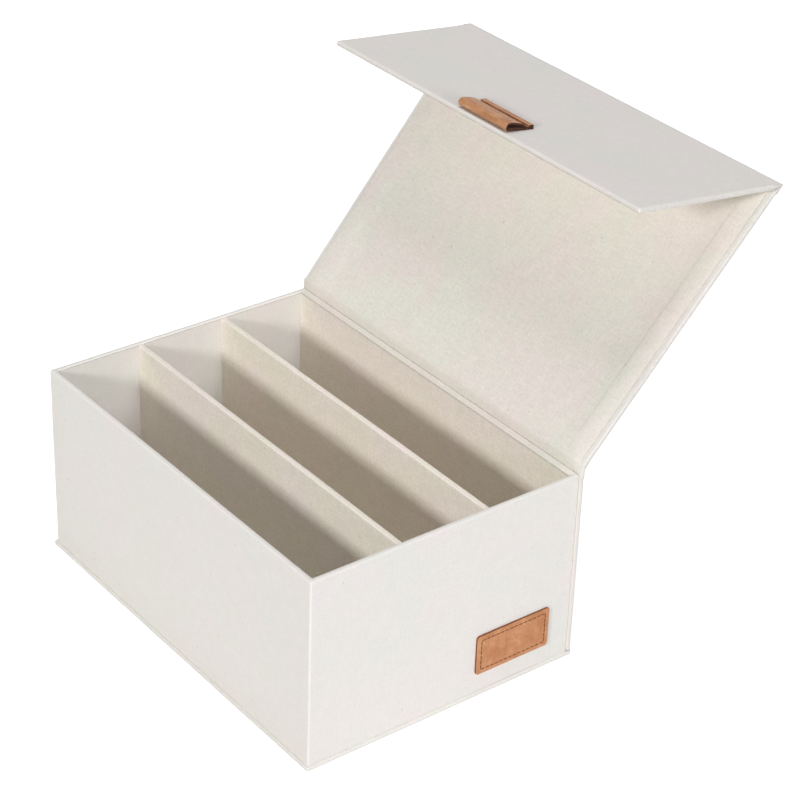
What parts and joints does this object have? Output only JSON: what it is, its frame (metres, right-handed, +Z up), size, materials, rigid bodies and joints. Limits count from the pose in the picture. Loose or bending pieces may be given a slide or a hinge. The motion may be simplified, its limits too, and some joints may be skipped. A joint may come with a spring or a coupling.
{
  "type": "compartment file box",
  "caption": "Cloth-covered board storage box with a hinged lid, a front flap held by magnets, inner dividers and a leather pull.",
  "frame": {"origin": "under the middle of the tray, on the surface that the box stands on", "axes": "+X along the box towards the end with the label, +Y from the open front to the hinge, +Z up"},
  "size_m": [0.263, 0.2997, 0.2751],
  "materials": {
    "outer_cloth": "natural canvas with small dark flecks",
    "lining_cloth": "natural canvas with small dark flecks",
    "grey_board": "plain grey binding board",
    "leather": "tan, smooth, with dark cut edges",
    "steel": "plain",
    "magnet": "nickel plated"
  },
  "bodies": {
    "box": {"base_board": "grey_board", "base_cloth": "outer_cloth", "spine_board": "grey_board", "spine_cloth": "outer_cloth", "front_wall_board": "grey_board", "rear_wall_board": "grey_board", "left_wall_board": "grey_board", "right_wall_board": "grey_board", "wall_cloth": "outer_cloth", "floor_board": "grey_board", "floor_lining": "lining_cloth", "front_divider_board": "grey_board", "front_divider_cloth": "outer_cloth", "rear_divider_board": "grey_board", "rear_divider_cloth": "outer_cloth", "left_catch_plate": "steel", "right_catch_plate": "steel", "label_patch": "leather", "lid_hinge_cloth": "outer_cloth", "hinge_lining": "lining_cloth"},
    "lid": {"lid_board": "grey_board", "lid_cloth": "outer_cloth", "lid_lining": "lining_cloth"},
    "fold": {"flap_hinge_cloth": "outer_cloth", "fold_lining": "lining_cloth"},
    "flap": {"flap_board": "grey_board", "flap_cloth": "outer_cloth", "flap_lining": "lining_cloth", "left_magnet": "magnet", "right_magnet": "magnet", "pull_tail": "leather"},
    "pull": {"pull_loop": "leather"}
  },
  "joints": [
    {"name": "lid_hinge", "type": "hinge", "parent": "box", "child": "lid", "pos_m": [0, 0.0893, 0.1212], "axis": [-1, 0, 0], "range_deg": [-131.8, 0]},
    {"name": "flap_hang", "type": "hinge", "parent": "lid", "child": "fold", "pos_m": [0, 0.21068, 0.25695], "axis": [-1, 0, 0], "range_deg": [0, 34.8]},
    {"name": "flap_lift", "type": "hinge", "parent": "fold", "child": "flap", "pos_m": [0, 0.21068, 0.25695], "axis": [-1, 0, 0], "range_deg": [0, 124.8]},
    {"name": "pull_lift", "type": "hinge", "parent": "flap", "child": "pull", "pos_m": [0, 0.12723, 0.27027], "axis": [-1, 0, 0], "range_deg": [0, 100]}
  ],
  "couplings": [
    {"joint": "flap_hang", "follows": "lid_hinge", "ratio": -0.264}
  ]
}
